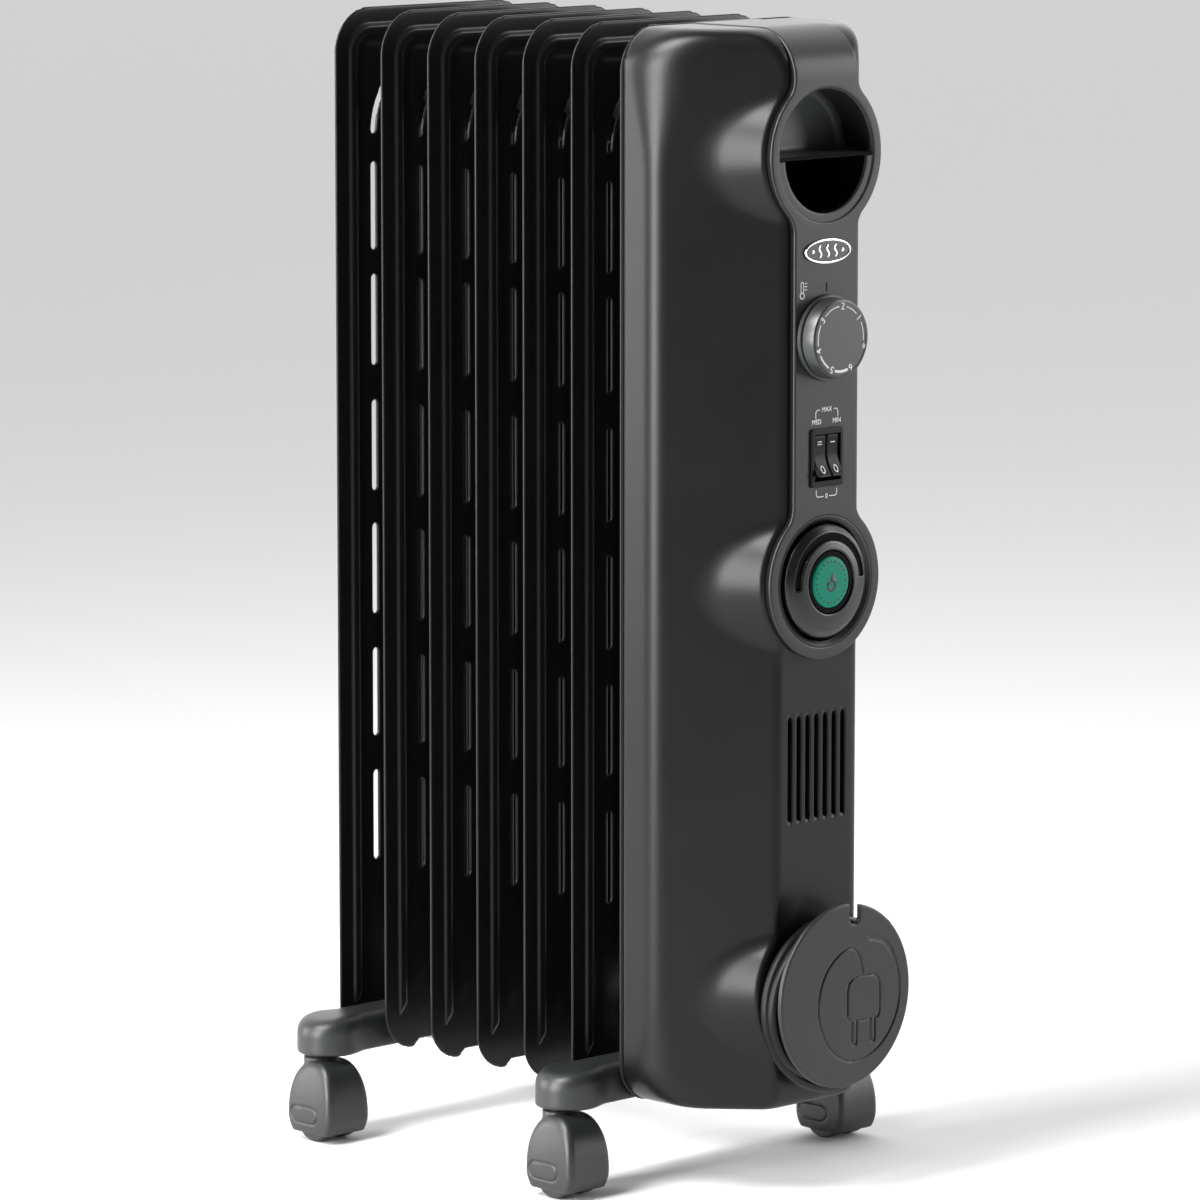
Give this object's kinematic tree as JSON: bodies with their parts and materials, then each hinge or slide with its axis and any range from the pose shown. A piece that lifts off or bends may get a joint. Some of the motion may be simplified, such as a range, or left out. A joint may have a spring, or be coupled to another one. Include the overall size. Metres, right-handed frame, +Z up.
{
  "type": "oil filled radiator heater",
  "caption": "Oil filled electric radiator on castors: black steel fins, grey control cover with grip, dial, rocker switches, round button and cord winder.",
  "frame": {"origin": "on the floor, at the middle of the outline seen from above, the mains cord not counted", "axes": "+Z up, -Y out of the control cover, +X to the right of somebody facing the controls"},
  "size_m": [0.2472, 0.3364, 0.6415],
  "materials": {
    "fin_enamel": "satin black enamel",
    "cover_shell": "satin charcoal with a fine metallic fleck",
    "panel_satin": "fine satin grey",
    "knob_satin": "satin grey",
    "black_plastic": "satin black",
    "gasket_rubber": "matt",
    "galvanised_sheet": "zinc plated",
    "bright_steel": "zinc plated",
    "badge_metal": "polished rim",
    "lens_green": "moulded green",
    "circuit_board": "varnished",
    "wire_sleeve": "silicone sleeve",
    "cord_sheath": "smooth black sheath",
    "foot_plastic": "fine grained grey",
    "wheel_plastic": "hard black"
  },
  "bodies": {
    "heater": {"badge": "badge_metal", "comfort_board": "circuit_board", "comfort_plate": "black_plastic", "control_cover": "cover_shell", "control_panel": "panel_satin", "cord_coil": "cord_sheath", "cord_gland": "gasket_rubber", "cord_tail": "cord_sheath", "cover_gasket": "gasket_rubber", "cover_screws": "bright_steel", "element_gasket": "gasket_rubber", "filler_plug": "bright_steel", "fin_1": "fin_enamel", "fin_2": "fin_enamel", "fin_3": "fin_enamel", "fin_4": "fin_enamel", "fin_5": "fin_enamel", "fin_6": "fin_enamel", "fin_7": "fin_enamel", "foot_bar_front": "foot_plastic", "foot_bar_rear": "foot_plastic", "handle_recess": "panel_satin", "header_caps": "fin_enamel", "header_rings": "fin_enamel", "heat_shield": "galvanised_sheet", "heating_element": "bright_steel", "mains_plug": "cord_sheath", "rocker_pin": "bright_steel", "switch_body": "black_plastic", "switch_frame": "black_plastic", "terminal_block": "black_plastic", "thermal_cutout": "black_plastic", "thermostat_body": "black_plastic", "u_bolts": "bright_steel", "winder_disc": "panel_satin", "winder_drum": "black_plastic", "wing_nuts": "bright_steel", "wiring_loom": "wire_sleeve"},
    "knob": {"thermostat_knob": "knob_satin", "thermostat_spindle": "bright_steel"},
    "left_rocker": {"rocker_left": "black_plastic"},
    "right_rocker": {"rocker_right": "black_plastic"},
    "button": {"comfort_button": "black_plastic", "button_lens": "lens_green"},
    "swivel_fl": {"castor_hood_fl": "foot_plastic", "castor_stem_fl": "bright_steel", "castor_axle_fl": "bright_steel"},
    "wheels_fl": {"castor_wheels_fl": "wheel_plastic"},
    "swivel_fr": {"castor_hood_fr": "foot_plastic", "castor_stem_fr": "bright_steel", "castor_axle_fr": "bright_steel"},
    "wheels_fr": {"castor_wheels_fr": "wheel_plastic"},
    "swivel_rl": {"castor_hood_rl": "foot_plastic", "castor_stem_rl": "bright_steel", "castor_axle_rl": "bright_steel"},
    "wheels_rl": {"castor_wheels_rl": "wheel_plastic"},
    "swivel_rr": {"castor_hood_rr": "foot_plastic", "castor_stem_rr": "bright_steel", "castor_axle_rr": "bright_steel"},
    "wheels_rr": {"castor_wheels_rr": "wheel_plastic"}
  },
  "joints": [
    {"name": "thermostat_turn", "type": "hinge", "parent": "heater", "child": "knob", "pos_m": [0, -0.162, 0.4735], "axis": [0, -1, 0], "range_deg": [-206, 105]},
    {"name": "left_rocker_tip", "type": "hinge", "parent": "heater", "child": "left_rocker", "pos_m": [-0.00505, -0.1471, 0.4082], "axis": [1, 0, 0], "range_deg": [0, 22]},
    {"name": "right_rocker_tip", "type": "hinge", "parent": "heater", "child": "right_rocker", "pos_m": [0.00505, -0.1471, 0.4082], "axis": [1, 0, 0], "range_deg": [0, 22]},
    {"name": "comfort_press", "type": "slide", "parent": "heater", "child": "button", "axis": [0, 1, 0], "range_m": [0, 0.0025], "stiffness_N_per_m": 300, "springref_m": -0.001},
    {"name": "swivel_turn_fl", "type": "hinge", "parent": "heater", "child": "swivel_fl", "pos_m": [-0.1069, -0.05245, 0.047], "axis": [0, 0, 1], "continuous": true},
    {"name": "wheel_roll_fl", "type": "hinge", "parent": "swivel_fl", "child": "wheels_fl", "pos_m": [-0.1069, -0.05945, 0.0145], "axis": [1, 0, 0], "continuous": true},
    {"name": "swivel_turn_fr", "type": "hinge", "parent": "heater", "child": "swivel_fr", "pos_m": [0.1069, -0.05245, 0.047], "axis": [0, 0, 1], "continuous": true},
    {"name": "wheel_roll_fr", "type": "hinge", "parent": "swivel_fr", "child": "wheels_fr", "pos_m": [0.1069, -0.05945, 0.0145], "axis": [1, 0, 0], "continuous": true},
    {"name": "swivel_turn_rl", "type": "hinge", "parent": "heater", "child": "swivel_rl", "pos_m": [-0.1069, 0.14375, 0.047], "axis": [0, 0, 1], "continuous": true},
    {"name": "wheel_roll_rl", "type": "hinge", "parent": "swivel_rl", "child": "wheels_rl", "pos_m": [-0.1069, 0.13675, 0.0145], "axis": [1, 0, 0], "continuous": true},
    {"name": "swivel_turn_rr", "type": "hinge", "parent": "heater", "child": "swivel_rr", "pos_m": [0.1069, 0.14375, 0.047], "axis": [0, 0, 1], "continuous": true},
    {"name": "wheel_roll_rr", "type": "hinge", "parent": "swivel_rr", "child": "wheels_rr", "pos_m": [0.1069, 0.13675, 0.0145], "axis": [1, 0, 0], "continuous": true}
  ]
}
